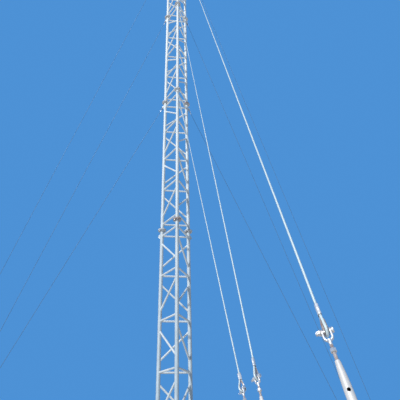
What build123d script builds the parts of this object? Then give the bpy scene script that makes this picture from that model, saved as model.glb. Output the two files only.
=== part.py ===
"""Guyed radio mast: a three-legged lattice of galvanised steel tubes, flanged into sections, held
upright by nine wire guys that run from lugs on its legs to six ground anchors.

Millimetres, +Z up.  The origin is the centre of the base plate's underside.  The front leg stands
towards -Y, the left leg at 150 degrees and the right leg at 30 degrees round the mast's axis.
"""
import os
from math import acos, atan2, cos, hypot, pi, radians, sin, sqrt

from build123d import *

# Mast
leg_spacing = 578.0          # leg centre to leg centre along one face
leg_diameter = 76.1
leg_wall = 4.0
section_length = 4000.0      # flange plane to flange plane
section_count = 4
bays_per_section = 4
joint_gap = 290.0            # between the two rails on either side of a flanged joint
base_height = 1890.0         # ground to the first flange plane
base_bays = 2
brace_diameter = 38.0
brace_sides = 8
brace_offset = 185.0         # from a rail to the nearest end of a diagonal, along the leg
weld_gap = 0.2
flange_diameter = 180.0
flange_thickness = 14.0

# Base plate and its anchor bolts
base_plate_thickness = 25.0
base_plate_margin = 110.0    # leg centre to the plate's edge
anchor_bolt_circle = 400.0
anchor_bolt_count = 6
anchor_bolt_hole = 26.0

# Top plate and lightning rod
top_plate_thickness = 12.0
top_plate_margin = 90.0        # leg centre to the plate's edge
socket_diameter = 48.3
socket_height = 160.0
rod_diameter = 20.0
rod_length = 1500.0
rod_point = 60.0
rod_tip_diameter = 5.0
rod_fit = 0.3

# Lugs on the legs
lug_thickness = 12.0
lug_height = 130.0
lug_eye = 70.0               # leg centre to the hole's centre
lug_rim = 24.0               # round end of the lug, about its hole
lug_step = 6.0               # straight part of its upper and lower edges, beyond the leg
lug_hole = 17.0
lug_levels = (1, 2, 3, 4)

# Guys: wire rope, eyes and thimbles
rope_diameter = 10.0
guy_levels = (2, 3, 4)
ferrule_length = 51.0
ferrule_thickness = 14.0
ferrule_width = 24.0
thimble_inner_radius = 12.0
thimble_sheet = 3.0
thimble_width = 15.0
thimble_length = 56.0        # centre of its round end to the ferrule
thimble_tip_gap = 4.0        # from its point to the ferrule
thimble_tip = 12.0           # solid part of its point
thimble_tip_half = 0.6       # half the thickness of the point's end
eye_embed = 4.0              # length of the eye's ends inside the ferrule
thimble_seat = 0.2           # from its strip to the rod or pin that it bears on

# Shackles at the lugs
shackle_rod = 12.0
shackle_pin = 16.0
shackle_pin_length = 66.0
shackle_gap = 20.0
shackle_reach = 52.0         # pin to the centre of the bow's rod
shackle_ear = 28.0
shackle_ear_thickness = 14.0

# Turnbuckles
screw_diameter = 12.0
jaw_pin = 12.0
jaw_gap = 20.0
jaw_width = 36.0
jaw_depth = 20.0
jaw_crown = 38.0             # pin to the outside of the jaw's crown
jaw_root = 4.0               # length of the shank inside the crown
anchor_jaw_crown = 54.0
jaw_pin_head = 8.0
pin_fit = 0.3
body_reach = 106.0           # jaw pin to the end of the pipe body
body_length = 360.0
body_diameter = 28.0
body_wall = 3.2
body_nose = 110.0            # drawn-down part of each end
body_tip_diameter = 17.0
nose_shoulder_reach = 44.0   # where the nose turns from steep to slow taper
nose_shoulder_diameter = 24.0
nose_flare = 0.35            # slope of the nose's side at its tip
nose_bore_length = 66.0      # threaded part of the nose
thread_fit = 0.2
screw_engagement = 60.0
peep_hole = 12.0
peep_hole_reach = 98.0       # end of the body to its peep hole
body_turn = 20.0             # the peep holes' turn about the guy's line

# Anchors and anchor rods
anchor_height = 250.0        # ground to the pin of the anchor rod
inner_anchor_radius = 6110.0
outer_anchor_radius = 6968.0
inner_pin_spacing = 56.0
anchor_plate_thickness = 16.0
anchor_plate_length = 420.0
anchor_plate_width = 260.0
anchor_hole_circle = 220.0
anchor_hole = 22.0
anchor_hole_count = 4
anchor_hole_turn = 45.0      # first hole from the radial line, in degrees
ear_thickness = 14.0
ear_rim = 26.0
ear_base = 260.0
anchor_rod_diameter = 20.0
rod_eye_diameter = 44.0
rod_eye_thickness = 15.0
rod_eye_root = 3.0           # length of the rod inside its eye
turnbuckle_pin_reach = {2: 1982.0, 3: 1857.0, 4: 1813.0}   # anchor pin to the turnbuckle's top pin
jaw_turn = {("front", 2): 80.0, ("front", 3): 58.0, ("front", 4): 30.0}   # jaws about their guys
eye_swing = {("front", 3): -12.0, ("front", 4): -12.0}   # lower rope eyes, from square to the pin

leg_radius = leg_spacing / (2 * sin(pi / 3))
bay_height = (section_length - joint_gap) / bays_per_section
base_bay_height = (base_height - joint_gap) / base_bays
strip_half = thimble_width / 2 - thimble_sheet
bow_rise = shackle_gap / 2 - sqrt((shackle_gap / 2) ** 2 - strip_half ** 2)
leg_angles = {"front": -90.0, "left": 150.0, "right": 30.0}
faces = {"left": ("front", "left"), "right": ("right", "front"), "back": ("left", "right")}

os.makedirs("parts", exist_ok=True)


def flange_height(joint):
    """Height of a flange plane; joint 0 is the top of the base section."""
    return base_height + joint * section_length


def leg_centre(name, height=0.0):
    """Point on a leg's centre line."""
    angle = radians(leg_angles[name])
    return Vector(leg_radius * cos(angle), leg_radius * sin(angle), height)


def save(piece, name):
    """Label the finished piece and write its file."""
    piece.part.label = name
    export_step(piece.part, f"parts/{name}.step")


def make_legs(name, bottom, top, lug_height_above=None):
    """Three hollow legs with a flange at each end, and lugs for the guys where a height is given."""
    with BuildPart() as legs:
        with BuildSketch(Plane.XY.offset(bottom)):
            with PolarLocations(leg_radius, 3, start_angle=leg_angles["front"]):
                Circle(leg_diameter / 2)
        extrude(amount=top - bottom)
        with BuildSketch(Plane.XY.offset(bottom), Plane.XY.offset(top - flange_thickness)):
            with PolarLocations(leg_radius, 3, start_angle=leg_angles["front"]):
                Circle(flange_diameter / 2)
        extrude(amount=flange_thickness)
        if lug_height_above is not None:
            for leg in leg_angles:
                outward = leg_centre(leg).normalized()
                with BuildSketch(Plane(leg_centre(leg, lug_height_above), x_dir=outward,
                                       z_dir=outward.cross(Vector(0, 0, 1)))):
                    Rectangle(leg_diameter / 2 + lug_step, lug_height, align=(Align.MIN, Align.CENTER))
                    with Locations((lug_eye, 0)):
                        Circle(lug_rim)
                    make_hull()
                    with Locations((lug_eye, 0)):
                        Circle(lug_hole / 2, mode=Mode.SUBTRACT)
                extrude(amount=lug_thickness / 2, both=True)
        with BuildSketch(Plane.XY.offset(bottom)):
            with PolarLocations(leg_radius, 3, start_angle=leg_angles["front"]):
                Circle(leg_diameter / 2 - leg_wall)
        extrude(amount=top - bottom, mode=Mode.SUBTRACT)
    save(legs, name)


def make_face_bars(name, first, second, rails, diagonals):
    """Rails and diagonals of one face, as bars whose ends are cut to the round of the two legs."""
    with BuildPart() as bars:
        for low, high in [(height, height) for height in rails] + diagonals:
            start = leg_centre(first, low)
            end = leg_centre(second, high)
            with BuildSketch(Plane(start, x_dir=Vector(0, 0, 1).cross(end - start), z_dir=end - start)):
                RegularPolygon(brace_diameter / 2, brace_sides)
            extrude(amount=(end - start).length)
        with BuildSketch(Plane.XY.offset(min(rails) - leg_diameter)):
            with Locations(leg_centre(first), leg_centre(second)):
                Circle(leg_diameter / 2 + weld_gap)
        extrude(amount=max(rails) - min(rails) + 2 * leg_diameter, mode=Mode.SUBTRACT)
    save(bars, name)


def lattice(low_rail, bay, bay_count):
    """Rail heights, and the diagonals' end heights, of a stack of bays whose hands alternate."""
    rails = [low_rail + bay * number for number in range(bay_count + 1)]
    diagonals = []
    for number in range(bay_count):
        low = rails[number] + brace_offset
        high = rails[number + 1] - brace_offset
        if number % 2:
            diagonals.append((low, high))
        else:
            diagonals.append((high, low))
    return rails, diagonals


# Base plate: a three-cornered plate under the legs, its corners cut square to each leg
with BuildPart() as base_plate:
    with BuildSketch() as outline:
        with PolarLocations(leg_radius, 3, start_angle=leg_angles["front"]):
            Circle(base_plate_margin)
        make_hull()
        with PolarLocations(anchor_bolt_circle / 2, anchor_bolt_count, start_angle=leg_angles["front"]):
            Circle(anchor_bolt_hole / 2, mode=Mode.SUBTRACT)
    extrude(amount=base_plate_thickness)
save(base_plate, "base_plate")

# Base section, standing on the base plate
make_legs("base_legs", base_plate_thickness, base_height)
base_rails, base_diagonals = lattice(joint_gap / 2, base_bay_height, base_bays)
for face, (first, second) in faces.items():
    make_face_bars(f"base_face_{face}", first, second, base_rails, base_diagonals)

# Sections 1 to 4
for number in range(1, section_count + 1):
    bottom = flange_height(number - 1)
    top = flange_height(number)
    lug_at = top - joint_gap / 2 if number in lug_levels else None
    make_legs(f"section_{number}_legs", bottom, top, lug_at)
    rails, diagonals = lattice(bottom + joint_gap / 2, bay_height, bays_per_section)
    for face, (first, second) in faces.items():
        make_face_bars(f"section_{number}_face_{face}", first, second, rails, diagonals)

# Top plate, on the flanges of the last section, with the socket of the lightning rod
mast_top = flange_height(section_count)
with BuildPart() as top_plate:
    with BuildSketch(Plane.XY.offset(mast_top)):
        with PolarLocations(leg_radius, 3, start_angle=leg_angles["front"]):
            Circle(top_plate_margin)
        make_hull()
    extrude(amount=top_plate_thickness)
    with BuildSketch(Plane.XY.offset(mast_top + top_plate_thickness)):
        Circle(socket_diameter / 2)
    extrude(amount=socket_height)
    with BuildSketch(Plane.XY.offset(mast_top + top_plate_thickness)):
        Circle(rod_diameter / 2 + rod_fit)
    extrude(amount=socket_height, mode=Mode.SUBTRACT)
save(top_plate, "top_plate")

with BuildPart() as lightning_rod:
    with BuildSketch(Plane.XY.offset(mast_top + top_plate_thickness)):
        Circle(rod_diameter / 2)
    extrude(amount=rod_length - rod_point)
    with BuildSketch(Plane.XY.offset(mast_top + top_plate_thickness + rod_length - rod_point)):
        Circle(rod_diameter / 2)
    with BuildSketch(Plane.XY.offset(mast_top + top_plate_thickness + rod_length)):
        Circle(rod_tip_diameter / 2)
    loft()
save(lightning_rod, "lightning_rod")


class Guy:
    """The straight line of one guy, from the hole of its lug to its pin on the anchor."""

    def __init__(self, side, level):
        self.side = side
        self.level = level
        self.name = f"{side}_wire_{level}"
        outward = leg_centre(side).normalized()
        self.across = Vector(0, 0, 1).cross(outward)
        self.top = leg_centre(side, flange_height(level) - joint_gap / 2) + outward * lug_eye
        if level == guy_levels[-1]:
            pin_radius = outer_anchor_radius
        else:
            first_level, last_level = guy_levels[0], guy_levels[-2]
            pin_radius = inner_anchor_radius + (level - (first_level + last_level) / 2) * inner_pin_spacing
        self.foot = outward * pin_radius + Vector(0, 0, anchor_height)
        self.length = (self.foot - self.top).length
        self.down = (self.foot - self.top).normalized()
        self.jaw_turn = jaw_turn.get((side, level), 0.0)
        self.eye_turn = self.jaw_turn + eye_swing.get((side, level), 0.0)
        self.top_crown = shackle_reach - shackle_rod / 2 - bow_rise - thimble_seat + thimble_inner_radius
        self.turnbuckle_pin = self.length - turnbuckle_pin_reach[level]
        self.low_crown = self.turnbuckle_pin + jaw_pin / 2 + thimble_seat - thimble_inner_radius
        self.low_pin = self.turnbuckle_pin + 2 * body_reach + body_length

    def seat(self, distance, turn=0.0, upward=False):
        """Plane square to the guy, a distance down it: Z runs along the guy and X across it, turned
        about the guy by an angle in degrees."""
        across = self.across * cos(radians(turn)) + self.down.cross(self.across) * sin(radians(turn))
        return Plane(self.top + self.down * distance, x_dir=across, z_dir=self.down * (-1 if upward else 1))


guys = [Guy(side, level) for side in leg_angles for level in guy_levels]
rope_radius = rope_diameter / 2
eye_radius = thimble_inner_radius + thimble_sheet + rope_radius


def eye_points(radius, half_gap, length):
    """Where one leg of a rope eye starts, and where it meets the round end centred on the origin."""
    touch = atan2(half_gap, length) + acos(radius / hypot(length, half_gap))
    return (length, half_gap), (radius * cos(touch), radius * sin(touch))


# Pressed eye of a wire: its round end is centred on the origin, the ferrule lies along +Z
eye_start, eye_tangent = eye_points(eye_radius, rope_radius, thimble_length + eye_embed)
with BuildPart() as rope_eye:
    with BuildLine(Plane(origin=(0, 0, 0), x_dir=(0, 0, 1), z_dir=(1, 0, 0))) as eye_line:
        Line(eye_start, eye_tangent)
        ThreePointArc(eye_tangent, (-eye_radius, 0), (eye_tangent[0], -eye_tangent[1]))
        Line((eye_tangent[0], -eye_tangent[1]), (eye_start[0], -eye_start[1]))
    with BuildSketch(Plane(eye_line.line @ 0, z_dir=eye_line.line % 0)):
        Circle(rope_radius)
    sweep(path=eye_line.line)
    with BuildSketch(Plane.XY.offset(thimble_length)):
        SlotOverall(ferrule_width, ferrule_thickness, rotation=90)
    extrude(amount=ferrule_length)

# Wires: the rope between its two ferrules, with an eye at each end
for guy in guys:
    rope_from = guy.top_crown + thimble_length + ferrule_length
    rope_to = guy.low_crown - thimble_length - ferrule_length
    with BuildPart() as wire:
        with BuildSketch(guy.seat(rope_from)):
            Circle(rope_radius)
        extrude(amount=rope_to - rope_from)
        with Locations(guy.seat(guy.top_crown), guy.seat(guy.low_crown, guy.eye_turn, upward=True)):
            add(rope_eye.part)
    save(wire, guy.name)

# Thimble: the teardrop strip inside an eye, its round end centred on the origin
point_at = thimble_length - thimble_tip_gap
outer_start, outer_tangent = eye_points(thimble_inner_radius + thimble_sheet, thimble_tip_half, point_at)
inner_start, inner_tangent = eye_points(thimble_inner_radius, thimble_tip_half, point_at - thimble_tip)
with BuildPart() as thimble:
    with BuildSketch(Plane(origin=(0, 0, 0), x_dir=(0, 0, 1), z_dir=(1, 0, 0))):
        for (start, tangent, radius, kind) in (
            (outer_start, outer_tangent, thimble_inner_radius + thimble_sheet, Mode.ADD),
            (inner_start, inner_tangent, thimble_inner_radius, Mode.SUBTRACT),
        ):
            with BuildLine():
                Line(start, tangent)
                ThreePointArc(tangent, (-radius, 0), (tangent[0], -tangent[1]))
                Line((tangent[0], -tangent[1]), (start[0], -start[1]))
                Line((start[0], -start[1]), start)
            make_face(mode=kind)
    extrude(amount=strip_half, both=True)

with BuildPart() as thimbles:
    for guy in guys:
        with Locations(guy.seat(guy.top_crown), guy.seat(guy.low_crown, guy.eye_turn, upward=True)):
            add(thimble.part)
save(thimbles, "thimbles")

# Bow shackle: its pin lies along X through the origin, its bow reaches to +Z
bow_radius = shackle_gap / 2 + shackle_rod / 2
with BuildPart() as shackle:
    with BuildLine(Plane.XZ) as bow:
        Line((bow_radius, 0), (bow_radius, shackle_reach - bow_radius))
        ThreePointArc((bow_radius, shackle_reach - bow_radius), (0, shackle_reach),
                      (-bow_radius, shackle_reach - bow_radius))
        Line((-bow_radius, shackle_reach - bow_radius), (-bow_radius, 0))
    with BuildSketch(Plane(bow.line @ 0, z_dir=bow.line % 0)):
        Circle(shackle_rod / 2)
    sweep(path=bow.line)
    with BuildSketch(Plane.YZ.offset(bow_radius), Plane.YZ.offset(-bow_radius)):
        Circle(shackle_ear / 2)
    extrude(amount=shackle_ear_thickness / 2, both=True)
    with BuildSketch(Plane.YZ):
        Circle(shackle_pin / 2)
    extrude(amount=shackle_pin_length / 2, both=True)

with BuildPart() as upper_shackles:
    with Locations(*[guy.seat(0) for guy in guys]):
        add(shackle.part)
save(upper_shackles, "upper_shackles")


def make_jaw(crown, shank_end, shank_diameter):
    """Forked jaw: pin along X through the origin, fork open to -Z, crown and shank towards +Z."""
    inner = jaw_gap / 2
    outer = jaw_width / 2
    shoulder = crown - outer
    with BuildPart() as jaw:
        with BuildSketch(Plane.XZ):
            with BuildLine():
                Line((outer, -jaw_depth / 2), (outer, shoulder))
                ThreePointArc((outer, shoulder), (0, crown), (-outer, shoulder))
                Line((-outer, shoulder), (-outer, -jaw_depth / 2))
                Line((-outer, -jaw_depth / 2), (-inner, -jaw_depth / 2))
                Line((-inner, -jaw_depth / 2), (-inner, shoulder))
                ThreePointArc((-inner, shoulder), (0, shoulder + inner), (inner, shoulder))
                Line((inner, shoulder), (inner, -jaw_depth / 2))
                Line((inner, -jaw_depth / 2), (outer, -jaw_depth / 2))
            make_face()
        extrude(amount=jaw_depth / 2, both=True)
        with BuildSketch(Plane.YZ):
            Circle(jaw_pin / 2)
        extrude(amount=jaw_width / 2 + jaw_pin_head, both=True)
        with BuildSketch(Plane.XY.offset(crown - jaw_root)):
            Circle(shank_diameter / 2)
        extrude(amount=shank_end - crown + jaw_root)
    return jaw.part


screw_jaw = make_jaw(jaw_crown, body_reach + screw_engagement, screw_diameter)
with BuildPart() as turnbuckle_jaws:
    for guy in guys:
        with Locations(guy.seat(guy.turnbuckle_pin, guy.jaw_turn), guy.seat(guy.low_pin, upward=True)):
            add(screw_jaw)
save(turnbuckle_jaws, "turnbuckle_jaws")

# Pipe body of a turnbuckle: both ends are drawn down to a threaded nose, with a peep hole near each
with BuildPart() as pipe_body:
    outer = body_diameter / 2
    tip = body_tip_diameter / 2
    bore = screw_diameter / 2 + thread_fit
    shoulder = nose_shoulder_diameter / 2
    with BuildSketch(Plane.XZ):
        with BuildLine():
            Spline((tip, 0), (shoulder, nose_shoulder_reach), (outer, body_nose),
                   tangents=((nose_flare, 1), (0, 1)))
            Line((outer, body_nose), (outer, body_length - body_nose))
            Spline((outer, body_length - body_nose), (shoulder, body_length - nose_shoulder_reach),
                   (tip, body_length), tangents=((0, 1), (-nose_flare, 1)))
            Polyline((tip, body_length), (bore, body_length), (bore, body_length - nose_bore_length),
                     (outer - body_wall, body_length - body_nose), (outer - body_wall, body_nose),
                     (bore, nose_bore_length), (bore, 0), (tip, 0))
        make_face()
    revolve(axis=Axis.Z)
    with BuildSketch(Plane.XZ):
        with Locations((0, peep_hole_reach), (0, body_length - peep_hole_reach)):
            Circle(peep_hole / 2)
    extrude(amount=body_diameter, both=True, mode=Mode.SUBTRACT)

for side in leg_angles:
    side_guys = [guy for guy in guys if guy.side == side]
    with BuildPart() as turnbuckle_bodies:
        with Locations(*[guy.seat(guy.turnbuckle_pin + body_reach, body_turn) for guy in side_guys]):
            add(pipe_body.part)
    save(turnbuckle_bodies, f"{side}_turnbuckle_bodies")

# Anchor rods: a jaw over the anchor's ear, the rod, and a flat eye in the turnbuckle's lower jaw
for side in leg_angles:
    with BuildPart() as anchor_rods:
        for guy in [guy for guy in guys if guy.side == side]:
            rod_end = guy.length - guy.low_pin - rod_eye_diameter / 2 + rod_eye_root
            eye_side = Plane(guy.seat(guy.low_pin).origin, x_dir=guy.down, z_dir=guy.across)
            with Locations(guy.seat(guy.length, upward=True)):
                add(make_jaw(anchor_jaw_crown, rod_end, anchor_rod_diameter))
            with BuildSketch(eye_side):
                Circle(rod_eye_diameter / 2)
            extrude(amount=rod_eye_thickness / 2, both=True)
            with BuildSketch(eye_side):
                Circle(jaw_pin / 2 + pin_fit)
            extrude(amount=rod_eye_diameter, both=True, mode=Mode.SUBTRACT)
    save(anchor_rods, f"{side}_anchor_rods")

# Anchors: a plate on the ground with an upright ear, one hole for each guy's pin
for side in leg_angles:
    outward = leg_centre(side).normalized()
    with BuildPart() as anchors:
        for radii in ((inner_anchor_radius - inner_pin_spacing / 2,
                       inner_anchor_radius + inner_pin_spacing / 2), (outer_anchor_radius,)):
            middle = sum(radii) / len(radii)
            pins = [(radius - middle, anchor_height) for radius in radii]
            with BuildSketch(Plane(outward * middle, x_dir=outward, z_dir=(0, 0, 1))):
                Rectangle(anchor_plate_length, anchor_plate_width)
                with PolarLocations(anchor_hole_circle / 2, anchor_hole_count, start_angle=anchor_hole_turn):
                    Circle(anchor_hole / 2, mode=Mode.SUBTRACT)
            extrude(amount=anchor_plate_thickness)
            upright = Plane(outward * middle, x_dir=outward, z_dir=outward.cross(Vector(0, 0, 1)))
            with BuildSketch(upright):
                with Locations(*pins):
                    Circle(ear_rim)
                with Locations((0, anchor_plate_thickness / 2)):
                    Rectangle(ear_base, anchor_plate_thickness)
                make_hull()
                with Locations(*pins):
                    Circle(jaw_pin / 2 + pin_fit, mode=Mode.SUBTRACT)
            extrude(amount=ear_thickness / 2, both=True)
    save(anchors, f"{side}_anchors")
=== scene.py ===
from math import acos, atan2, ceil, cos, hypot, pi, radians, sin, sqrt, tau

import bpy
import numpy as np
from mathutils import Matrix, Vector


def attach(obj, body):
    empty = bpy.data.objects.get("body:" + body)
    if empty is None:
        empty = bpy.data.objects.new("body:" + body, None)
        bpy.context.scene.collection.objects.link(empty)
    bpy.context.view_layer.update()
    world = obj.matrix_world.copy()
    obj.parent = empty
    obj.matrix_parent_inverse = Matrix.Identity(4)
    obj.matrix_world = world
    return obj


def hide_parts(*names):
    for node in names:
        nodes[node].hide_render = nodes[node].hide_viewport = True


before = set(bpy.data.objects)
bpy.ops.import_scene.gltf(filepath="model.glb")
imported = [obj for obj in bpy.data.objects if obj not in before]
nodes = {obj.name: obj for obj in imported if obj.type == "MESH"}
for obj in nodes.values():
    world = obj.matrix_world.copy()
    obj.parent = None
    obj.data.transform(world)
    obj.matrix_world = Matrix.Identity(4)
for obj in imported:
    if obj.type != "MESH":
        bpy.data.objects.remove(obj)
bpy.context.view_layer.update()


# Studio: a pale floor, a plain blue backdrop, faint blue daylight, and a sun 32 degrees high behind
# the camera's left shoulder. The camera stands beside the front guys, at eye height, and looks up
# the mast as a phone's wide lens does.
floor_drop = 0.002
floor_reach = 400.0
floor_colour = (0.78, 0.79, 0.80)
floor_shade = 0.97
floor_noise = (0.4, 3.0)
floor_roughness = 0.85
floor_lift = (0.20, 0.20, 0.20, 1.0)
no_light = (0.0, 0.0, 0.0, 1.0)
backdrop_colour = (0.075, 0.285, 0.670, 1.0)
daylight_colour = (0.66, 0.82, 1.0, 1.0)
daylight_strength = 0.24
key_direction = (0.64, 0.72, -0.60)
key_strength = 2.9
key_spread = radians(6)
key_colour = (1.0, 0.975, 0.94)
camera_place = (-0.6033, -7.614, 1.598)
camera_heading = radians(-8.634)
camera_pitch = radians(33.18)
camera_roll = radians(-1.973)
camera_sight = 200.0
lens = 36.0
sensor = 36.0

scene = bpy.context.scene
scene.view_settings.view_transform = "Standard"


def add_object(name, data):
    """New object of some data, in the scene."""
    made = bpy.data.objects.new(name, data)
    scene.collection.objects.link(made)
    return made


camera_data = bpy.data.cameras.new("camera")
camera_data.lens = lens
camera_data.sensor_width = sensor
camera_data.clip_end = camera_sight
camera = add_object("camera", camera_data)
camera.matrix_world = (Matrix.Translation(camera_place)
                       @ Matrix.Rotation(camera_heading, 4, "Z")
                       @ Matrix.Rotation(pi / 2 + camera_pitch, 4, "X")
                       @ Matrix.Rotation(camera_roll, 4, "Z"))
scene.camera = camera

key_data = bpy.data.lights.new("key", "SUN")
key_data.energy = key_strength
key_data.angle = key_spread
key_data.color = key_colour
key = add_object("key", key_data)
key.rotation_mode = "QUATERNION"
key.rotation_quaternion = Vector(key_direction).to_track_quat("-Z", "Y")


class Signal:
    """One output socket of a node tree. Arithmetic on it adds Math nodes, and node() adds any other."""

    def __init__(self, tree, socket=None):
        self.tree = tree
        self.socket = socket

    def node(self, kind, settings=None, inputs=None, output=0):
        """Adds a node: its type, its settings, which are set first, and the values or links of its
        sockets. What comes back is one of its outputs, by number or name."""
        made = self.tree.nodes.new("ShaderNode" + kind)
        for name, value in (settings or {}).items():
            setattr(made, name, value)
        for name, value in (inputs or {}).items():
            if isinstance(value, Signal):
                self.tree.links.new(value.socket, made.inputs[name])
            else:
                made.inputs[name].default_value = value
        return Signal(self.tree, made.outputs[output] if made.outputs else None)

    def maths(self, operation, *values):
        """A Math node on values or signals."""
        return self.node("Math", {"operation": operation}, dict(enumerate(values)))

    def __add__(self, other):
        return self.maths("ADD", self, other)

    def __sub__(self, other):
        return self.maths("SUBTRACT", self, other)

    def __rsub__(self, other):
        return self.maths("SUBTRACT", other, self)

    def __mul__(self, other):
        return self.maths("MULTIPLY", self, other)

    __radd__ = __add__
    __rmul__ = __mul__

    def ramp(self, low, high):
        """0 below low, 1 above high, and even in between."""
        return self.node("MapRange", inputs={"Value": self, "From Min": low, "From Max": high})

    def mix(self, low, high):
        """Colour that goes from low to high as this value goes from 0 to 1."""
        return self.node("Mix", {"data_type": "RGBA"}, {0: self, 6: low, 7: high}, 2)

    def noise(self, scale, detail, roughness=0.5):
        """Cloudy noise over this vector."""
        return self.node("TexNoise", inputs={"Vector": self, "Scale": scale, "Detail": detail,
                                             "Roughness": roughness})


world = bpy.data.worlds.new("studio")
scene.world = world
world.use_nodes = True
world.node_tree.nodes.clear()
sky = Signal(world.node_tree)
seen = (sky.node("LightPath", output="Is Camera Ray")
        + sky.node("LightPath", output="Is Glossy Ray")
        + sky.node("LightPath", output="Is Transmission Ray"))
seen = seen.node("Clamp", inputs={"Value": seen})
daylight = sky.node("Background", inputs={"Color": daylight_colour, "Strength": daylight_strength})
backdrop = sky.node("Background", inputs={"Color": backdrop_colour, "Strength": 1.0})
mixed = sky.node("MixShader", inputs={0: seen, 1: daylight, 2: backdrop})
sky.node("OutputWorld", inputs={"Surface": mixed})


def new_material(name):
    """Empty material, as the start of its node tree."""
    material = bpy.data.materials.new(name)
    material.use_nodes = True
    material.node_tree.nodes.clear()
    return material, Signal(material.node_tree)


floor_material, paint = new_material("floor_paint")
floor_clouds = paint.node("TexCoord", output="Object").noise(*floor_noise)
floor_tone = floor_clouds.mix((*[value * floor_shade for value in floor_colour], 1.0), (*floor_colour, 1.0))
floor_glow = paint.node("LightPath", output="Is Camera Ray").mix(no_light, floor_lift)
floor_shader = paint.node("BsdfPrincipled", inputs={"Base Color": floor_tone, "Roughness": floor_roughness,
                                                    "Emission Color": floor_glow,
                                                    "Emission Strength": 1.0})
paint.node("OutputMaterial", inputs={"Surface": floor_shader})
floor_mesh = bpy.data.meshes.new("floor")
floor_mesh.from_pydata([(x * floor_reach, y * floor_reach, -floor_drop)
                        for x, y in ((-1, -1), (1, -1), (1, 1), (-1, 1))], [], [(0, 1, 2, 3)])
floor_mesh.materials.append(floor_material)
floor = add_object("floor", floor_mesh)


# Legs: 76.1 mm steel tube in five lengths, with a flange welded round each end and, near the top of
# each 4 m section, a lug on the outside that takes a guy. Hot-dip galvanised after welding: faint
# crystals, pale runs, brown stains at the joints, and painted shade, darker and bluer towards the ground.
leg_spacing = 0.578
leg_radius = 0.03805
leg_bore = 0.03405
leg_sides = 40
flange_radius = 0.090
flange_thickness = 0.014
flange_chamfer = 0.0015
flange_weld = 0.007
flange_weld_points = 5
base_plate_thickness = 0.025
base_height = 1.890
section_length = 4.0
section_count = 4
joint_gap = 0.290
lug_thickness = 0.012
lug_height = 0.130
lug_eye = 0.070
lug_rim = 0.024
lug_hole = 0.0085
lug_bite = 0.002
lug_step = 0.006
lug_chamfer = 0.0008
lug_points = 32
lug_weld = 0.0045
lug_weld_points = 40
lug_ripple = 0.10
lug_ripple_length = 0.006
weld_sides = 8
edge_angle = radians(35)
least_facing = 1e-6
zinc_colours = ((0.700, 0.770, 0.810), (0.930, 0.965, 0.970))
ground_shade_colours = ((0.190, 0.300, 0.390), (0.410, 0.550, 0.670))
ground_shade_height = 13.0
rust_colour = (0.350, 0.190, 0.125, 1.0)
grime_colour = (0.330, 0.310, 0.290, 1.0)
# Colour of the painted shade in recesses: rope grooves, sleeve ends and the pipe's bore.
hollow_shade_colour = (0.078, 0.076, 0.074, 1.0)
crystal_share = 0.22
run_share = 0.40
cloud_noise = (7.0, 5.0, 0.6)
cloud_levels = (0.3, 0.7)
run_scales = (55.0, 55.0, 2.2)
run_noise = (1.0, 3.0)
run_levels = (0.35, 0.68)
grain_noise = (420.0, 2.0)
crystal_relief = 0.6
relief_height = 0.0006
cloud_sheen = 0.12
crystal_sheen = 0.08
rust_noise = (38.0, 6.0, 0.72)
rust_field_noise = (3.1, 2.0)
rust_field_share = 0.7
rust_levels = (1.06, 1.22)
rust_gain = 0.42
rust_cover = 0.75
joint_rust = 0.23
joint_rust_reach = (0.010, 0.090)
mud_noise = (24.0, 6.0, 0.7)
mud_reach = 2.0
mud_fade = 0.9
mud_cover = 0.8
stain_roughness = 0.3

leg_angles = {"front": radians(-90), "left": radians(150), "right": radians(30)}
leg_outward = {side: np.array((cos(angle), sin(angle), 0.0)) for side, angle in leg_angles.items()}
leg_middle = {side: outward * leg_spacing / sqrt(3) for side, outward in leg_outward.items()}
flange_planes = [base_height + section_length * number for number in range(section_count + 1)]
up = np.array((0.0, 0.0, 1.0))


class Form:
    """Surfaces as arrays: the points, the corner numbers of all faces in one row, the faces' sizes."""

    def __init__(self, points, corners, sizes):
        self.points = np.asarray(points, float)
        self.corners = np.asarray(corners, int)
        self.sizes = np.asarray(sizes, int)

    def __add__(self, other):
        return Form(np.vstack((self.points, other.points)),
                    np.concatenate((self.corners, other.corners + len(self.points))),
                    np.concatenate((self.sizes, other.sizes)))

    def at(self, places):
        """Copies of the form, one at each place: origin + x X + y Y + z Z, a place's four columns."""
        places = np.asarray(places, float).reshape(-1, 3, 4)
        moved = np.einsum("kij,nj->kni", places[:, :, :3], self.points) + places[:, None, :, 3]
        shift = np.repeat(np.arange(len(places)) * len(self.points), len(self.corners))
        return Form(moved.reshape(-1, 3), np.tile(self.corners, len(places)) + shift,
                    np.tile(self.sizes, len(places)))


def even_turns(count):
    """Angles round a full turn in equal steps, from 0."""
    return np.arange(count) * tau / count


def points(*coordinates):
    """Points of their coordinates, each of which is the same for all points or given for each."""
    return np.stack(np.broadcast_arrays(*coordinates), -1)


def rounds(reach, height, angle):
    """Level rings (r cos a, r sin a, z), with r and z the same for a ring or given at each point."""
    return points(reach * np.cos(angle), reach * np.sin(angle), height)


def skin(rings, loop=False, caps=True):
    """Surface through rings of points, an array of ring, point and coordinate. Quads join point j of
    ring i to point j + 1 and to ring i + 1. A loop also joins the last ring to the first; otherwise
    the end rings are closed by a face each. Rings run anticlockwise about the way they travel."""
    count, around = rings.shape[:2]
    ring = np.arange(count if loop else count - 1)[:, None] * around
    point = np.arange(around)[None]
    beside = (point + 1) % around
    above = (ring + around) % (count * around)
    quads = np.stack((ring + point, ring + beside, above + beside, above + point), -1)
    corners = quads.ravel()
    sizes = np.full(corners.size // 4, 4)
    if caps and not loop:
        first = np.arange(around)
        corners = np.concatenate((corners, first[::-1], first + (count - 1) * around))
        sizes = np.append(sizes, (around, around))
    return Form(rings.reshape(-1, 3), corners, sizes)


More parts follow.
